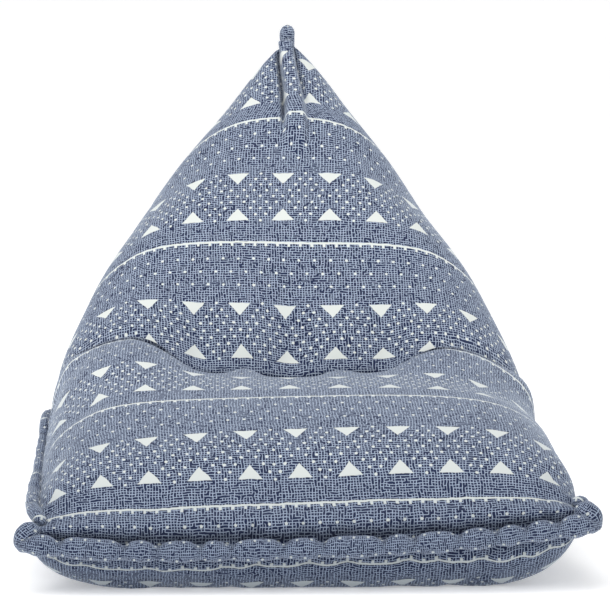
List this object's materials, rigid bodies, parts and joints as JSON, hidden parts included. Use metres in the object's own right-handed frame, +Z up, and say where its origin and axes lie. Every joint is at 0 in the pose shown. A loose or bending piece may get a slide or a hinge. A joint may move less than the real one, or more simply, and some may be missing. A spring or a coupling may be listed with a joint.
{
  "type": "bean bag lounger",
  "caption": "Pyramid-shaped bean bag lounger in printed canvas, with thick rolled seams, a sat-in seat and a peaked back.",
  "frame": {"origin": "on the floor, under the middle of the part's box", "axes": "+X to the right of someone who faces the seat, +Y from the front edge towards the back, +Z up"},
  "size_m": [0.9145, 1.2121, 0.8742],
  "materials": {
    "printed_canvas": "matte",
    "rolled_canvas": "matte"
  },
  "bodies": {
    "root": {"bag": "printed_canvas", "front_roll": "rolled_canvas", "left_roll": "rolled_canvas", "right_roll": "rolled_canvas", "back_roll": "rolled_canvas"}
  },
  "joints": []
}
